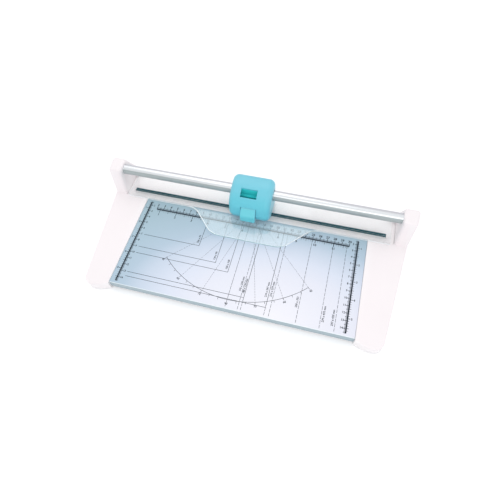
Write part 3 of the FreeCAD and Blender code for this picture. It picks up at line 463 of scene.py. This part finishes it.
def dressNodes():
    for finish, names in nodeFinish.items():
        for name in names:
            materials = nodes[name].data.materials
            if not materials:
                materials.append(finishes[finish])
            for place in range(len(materials)):
                materials[place] = finishes[finish]
    missing = sorted(set(nodes) - set(sum(nodeFinish.values(), [])))
    print("stage: nodes dressed, without a finish:", missing)


dressNodes()


def pointsOf(mesh):
    points = np.empty(len(mesh.vertices) * 3)
    mesh.vertices.foreach_get("co", points)
    return points.reshape(-1, 3)


def flatPiece(name, corners, faces, finish):
    mesh = bpy.data.meshes.new(name)
    mesh.from_pydata(corners.tolist(), [], faces)
    mesh.materials.append(finishes[finish])
    piece = bpy.data.objects.new(name, mesh)
    scene.collection.objects.link(piece)
    return piece


# The scales and format lines printed on the bed. Xp runs from the left paper stop, Yp forward from the cut.
inch = 25.4
bedPrint = {
    "stopX": -161.5, "cutY": 57.0, "height": 14.5, "lift": 0.03,
    # widths of the strokes, ticks from the longest to the shortest
    "rulerLine": 1.65, "tick": (0.8, 0.65, 0.46), "line": 0.55, "fineLine": 0.48, "dotted": 0.34,
    # dash and gap
    "dashes": (5.0, 1.2), "dots": (2.4, 1.3),
    "topLine": 25.0, "topFrom": 20, "topTo": 300, "topMm": (5.2, 4.2, 3.1), "topEighths": (5.2, 4.2, 3.2),
    "sideFrom": 14.0, "sideTo": 146.0, "leftLine": 8.0, "rightLine": 311.0,
    "sideMm": (4.0, 3.3, 2.6), "sideEighths": (3.4, 2.9, 2.3),
    "formats": [(100, 70), (130, 90), (150, 100), (180, 130), (210, 136.5)],
    "formatFrom": 18.0,
    "sheetLines": [160, 176, 180, 210, 216, 250, 279, 297], "sheetTo": 147.0,
    "arcCentre": 160.0, "arcRadius": 137.5, "arcHalf": 45, "arcStep": 5, "arcTick": 3.0, "arcPieces": 90,
    "spokes": [(-45, 45), (-30, 60), (-15, 75), (0, 90), (15, 75), (30, 60), (45, 45)],  # turn and its number
    "spokeNumbers": 5.6,
    # printed numbers: the first and last of each row, where the row is, how tall they are
    "topCm": (2, 30), "topInches": (1, 11), "cmNumbers": 17.6, "inchNumbers": 33.2,
    "sideCm": (2, 14), "sideInches": (1, 5), "sideCmNumbers": 6.0, "sideInchNumbers": 5.0,
    "number": 3.6, "smallNumber": 2.9, "labelNumber": 2.7,
    "typeSize": 1.35, "bolder": 0.035,  # for each mm of height: the face's size, and its outline's growth
    "labels": [  # text, Xp of its middle, Yp of its middle, all turned along the lines
        ("100 x 70", 97.0, 60), ("130 x 90", 127.0, 80), ("150 x 100", 147.0, 89), ("180 x 130 mm", 177.9, 114),
        ("176 x 250 mm", 172.9, 112), ("210 x 297 mm", 206.8, 112), ("216 x 279 mm", 213.0, 110),
        ("250 x 353", 246.9, 120), ("279 x 432 mm", 282.2, 128), ("297 x 420 mm", 293.6, 130)],
}


def onBed(p, points):
    # printed place (Xp, Yp) in mm to the row frame in metres, on the ink's height
    points = np.asarray(points, float)
    x = p["stopX"] + points[..., 0]
    y = p["cutY"] - points[..., 1]
    z = np.full_like(x, p["height"] + p["lift"])
    return np.stack([x, y, z], -1) * mm


def strokes(segments, width):
    # each segment (x0, y0, x1, y1) widened to a four-cornered strip
    s = np.asarray(segments, float)
    run = s[:, 2:] - s[:, :2]
    length = np.maximum(np.linalg.norm(run, axis=1, keepdims=True), 1e-9)
    side = np.stack([-run[:, 1], run[:, 0]], -1) / length * width / 2
    return np.stack([s[:, :2] - side, s[:, 2:] - side, s[:, 2:] + side, s[:, :2] + side], 1)


def dashes(x0, y0, x1, y1, dash, gap):
    # a dashed run as a list of short segments
    length = math.hypot(x1 - x0, y1 - y0)
    starts = np.arange(0, length, dash + gap)
    stops = np.minimum(starts + dash, length)
    ux, uy = (x1 - x0) / length, (y1 - y0) / length
    return np.stack([x0 + ux * starts, y0 + uy * starts, x0 + ux * stops, y0 + uy * stops], -1)


def tickRow(p, span, pitch, group, tall, line, alongX, side):
    # ticks to one side of a ruler's line, as strips: tallest at each group, less at its half, least between
    count = np.arange(math.ceil(span[0] / pitch), math.floor(span[1] / pitch) + 1)
    rank = np.where(count % group == 0, 0, np.where(count % (group // 2) == 0, 1, 2))
    at = count * pitch
    foot = np.full_like(at, line)
    tip = line + side * np.array(tall)[rank]
    ends = np.stack([at, foot, at, tip] if alongX else [foot, at, tip, at], -1)
    return [strokes(ends[rank == kind], width) for kind, width in enumerate(p["tick"])]


def rulerTicks(p):
    # millimetres on one side of each of the three lines, eighths of an inch on the other
    top, side = (p["topFrom"], p["topTo"]), (p["sideFrom"], p["sideTo"])
    strips = tickRow(p, top, 1.0, 10, p["topMm"], p["topLine"], True, -1)
    strips += tickRow(p, top, inch / 8, 8, p["topEighths"], p["topLine"], True, 1)
    for line, inward in ((p["leftLine"], 1), (p["rightLine"], -1)):
        strips += tickRow(p, side, 1.0, 10, p["sideMm"], line, False, inward)
        strips += tickRow(p, side, inch / 8, 8, p["sideEighths"], line, False, -inward)
    return np.concatenate(strips)


def arcPoints(p, radius, degrees):
    turn = np.radians(degrees)
    return np.stack([p["arcCentre"] + radius * np.sin(turn), radius * np.cos(turn)], -1)


def printLines(p):
    # all of the printed strokes as one flat mesh of strips
    rulers = [(p["topFrom"], p["topLine"], p["topTo"], p["topLine"])]
    rulers += [(line, p["sideFrom"], line, p["sideTo"]) for line in (p["leftLine"], p["rightLine"])]
    solid = []
    for x, y in p["formats"]:
        solid += [(p["formatFrom"], y, x, y), (x, y, x, p["topLine"])]
    arc = arcPoints(p, p["arcRadius"], np.linspace(-p["arcHalf"], p["arcHalf"], p["arcPieces"] + 1))
    solid += [(*a, *b) for a, b in zip(arc[:-1], arc[1:])]
    fine = [dashes(x, p["topLine"], x, p["sheetTo"], *p["dashes"]) for x in p["sheetLines"]]
    ticks = np.arange(-p["arcHalf"], p["arcHalf"] + 1, p["arcStep"])
    tips = arcPoints(p, p["arcRadius"] + p["arcTick"], ticks)
    fine.append(np.concatenate([arcPoints(p, p["arcRadius"], ticks), tips], -1))
    dotted = []
    for turn, number in p["spokes"]:
        start = arcPoints(p, p["topLine"] / math.cos(math.radians(turn)), turn)
        dotted.append(dashes(*start, *arcPoints(p, p["arcRadius"], turn), *p["dots"]))
    quads = np.concatenate([
        strokes(rulers, p["rulerLine"]), rulerTicks(p), strokes(solid, p["line"]),
        strokes(np.concatenate(fine), p["fineLine"]), strokes(np.concatenate(dotted), p["dotted"])])
    corners = onBed(p, quads)[:, ::-1].reshape(-1, 3)
    faces = np.arange(len(corners)).reshape(-1, 4)
    piece = flatPiece("bedPrint", corners, faces.tolist(), "print")
    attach(piece, "base")


def countUp(span):
    return range(span[0], span[1] + 1)


def numberPlaces(p):
    # every printed number: text, place, height and turn in degrees
    places = [(str(cm), (cm * 10, p["cmNumbers"]), p["number"], 0) for cm in countUp(p["topCm"])]
    places += [(str(n), (n * inch, p["inchNumbers"]), p["number"], 0) for n in countUp(p["topInches"])]
    for line, inward in ((p["leftLine"], 1), (p["rightLine"], -1)):
        inside, outside = line + inward * p["sideCmNumbers"], line - inward * p["sideInchNumbers"]
        places += [(str(cm), (inside, cm * 10), p["smallNumber"], 0) for cm in countUp(p["sideCm"])]
        places += [(str(n), (outside, n * inch), p["smallNumber"], 0) for n in countUp(p["sideInches"])]
    places += [(text, (x, y), p["labelNumber"], 90) for text, x, y in p["labels"]]
    for turn, number in p["spokes"]:
        place = arcPoints(p, p["arcRadius"] + p["spokeNumbers"], turn)
        places.append((str(number), tuple(place), p["smallNumber"], turn))
    return places


def flatText(p, depsgraph, text, size):
    # a text's flat points and faces, from a text object that is taken away again
    curve = bpy.data.curves.new("number", "FONT")
    curve.body = text
    curve.size = size * p["typeSize"]
    curve.offset = size * p["bolder"]
    curve.align_x = "CENTER"
    curve.align_y = "CENTER"
    curve.resolution_u = 2
    holder = bpy.data.objects.new("number", curve)
    scene.collection.objects.link(holder)
    depsgraph.update()
    mesh = bpy.data.meshes.new_from_object(holder.evaluated_get(depsgraph))
    flat = pointsOf(mesh)[:, :2]
    faces = [list(face.vertices) for face in mesh.polygons]
    bpy.data.objects.remove(holder)
    bpy.data.curves.remove(curve)
    bpy.data.meshes.remove(mesh)
    return flat, faces


def printNumbers(p):
    # all numbers and labels, turned and placed in the mesh and joined into one piece
    depsgraph = bpy.context.evaluated_depsgraph_get()
    corners, faces, count = [], [], 0
    for text, place, size, turn in numberPlaces(p):
        flat, outline = flatText(p, depsgraph, text, size)
        angle = math.radians(turn)
        flat = flat @ np.array([[math.cos(angle), math.sin(angle)], [-math.sin(angle), math.cos(angle)]])
        corners.append(onBed(p, np.stack([place[0] + flat[:, 0], place[1] - flat[:, 1]], -1)))
        faces += [[count + corner for corner in face] for face in outline]
        count += len(flat)
    piece = flatPiece("bedNumbers", np.concatenate(corners), faces, "print")
    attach(piece, "base")


printLines(bedPrint)
printNumbers(bedPrint)
print("stage: bed print")


# The painted highlight round the guard's hand tab: pale strips that stand for its polished bevel's glint, with
# the widths of its strips at the left and elsewhere
tabBevel = {
    "frontOf": 44.4, "top": 20.0, "slack": 0.01, "lift": 0.02,
    "left": 1.1, "right": 0.45, "leftFrom": 0.25, "levelFrom": 0.9,
}


def edgeSides(mesh, points):
    # each edge's ends with the normal and middle of every face beside it, by place: the mesh isn't merged
    sides = {}
    for face in mesh.polygons:
        beside = (tuple(face.normal), tuple(points[list(face.vertices)].mean(0)))
        for a, b in face.edge_keys:
            ends = tuple(sorted((tuple(points[a].round(3)), tuple(points[b].round(3)))))
            sides.setdefault(ends, []).append(beside)
    return sides


def layBevel(p):
    # a painted highlight: pale strips just inside the outline of the guard's upper face, wider where the outline
    # looks left
    mesh = nodes["clear_guard"].data
    quads = []
    for ends, sides in edgeSides(mesh, pointsOf(mesh) / mm).items():
        a, b = np.array(ends)
        if min(a[2], b[2]) < p["top"] - p["slack"] or max(a[1], b[1]) > p["frontOf"] or np.allclose(a, b):
            continue
        level = [middle for normal, middle in sides if normal[2] > p["levelFrom"]]
        if len(level) != 1 or len(sides) < 2:
            continue
        run = (b - a) / np.linalg.norm(b - a)
        inward = np.array([-run[1], run[0], 0])
        if np.dot(np.array(level[0]) - a, inward) < 0:
            inward = -inward
        width = p["left"] if inward[0] > p["leftFrom"] else p["right"]
        quads.append([a, b, b + inward * width, a + inward * width])
    corners = np.array(quads)
    corners[:, :, 2] += p["lift"]
    down = np.cross(corners[:, 1] - corners[:, 0], corners[:, 2] - corners[:, 0])[:, 2] < 0
    corners[down] = corners[down][:, ::-1]
    faces = np.arange(len(quads) * 4).reshape(-1, 4)
    piece = flatPiece("tabBevel", corners.reshape(-1, 3) * mm, faces.tolist(), "bevel")
    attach(piece, "guard")
    print("stage: tab bevel,", len(quads), "strips")


layBevel(tabBevel)


# The two return springs, which shorten as the lever presses the blade carrier down
pressSprings = {"lowEnd": 0.0272, "merge": 0.00001}


def foldSprings(p):
    # a merged copy of the springs, baked in place, with the original springs hidden
    mesh = nodes["return_springs"].data.copy()
    mesh.name = "pressSprings"
    merged = bmesh.new()
    merged.from_mesh(mesh)
    bmesh.ops.remove_doubles(merged, verts=merged.verts, dist=p["merge"])
    merged.to_mesh(mesh)
    merged.free()
    piece = bpy.data.objects.new("pressSprings", mesh)
    scene.collection.objects.link(piece)
    heights = pointsOf(mesh)[:, 2]
    print("stage: springs from", round(heights.min(), 5), "to", round(heights.max(), 5))
    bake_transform(piece)
    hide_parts("return_springs")


foldSprings(pressSprings)
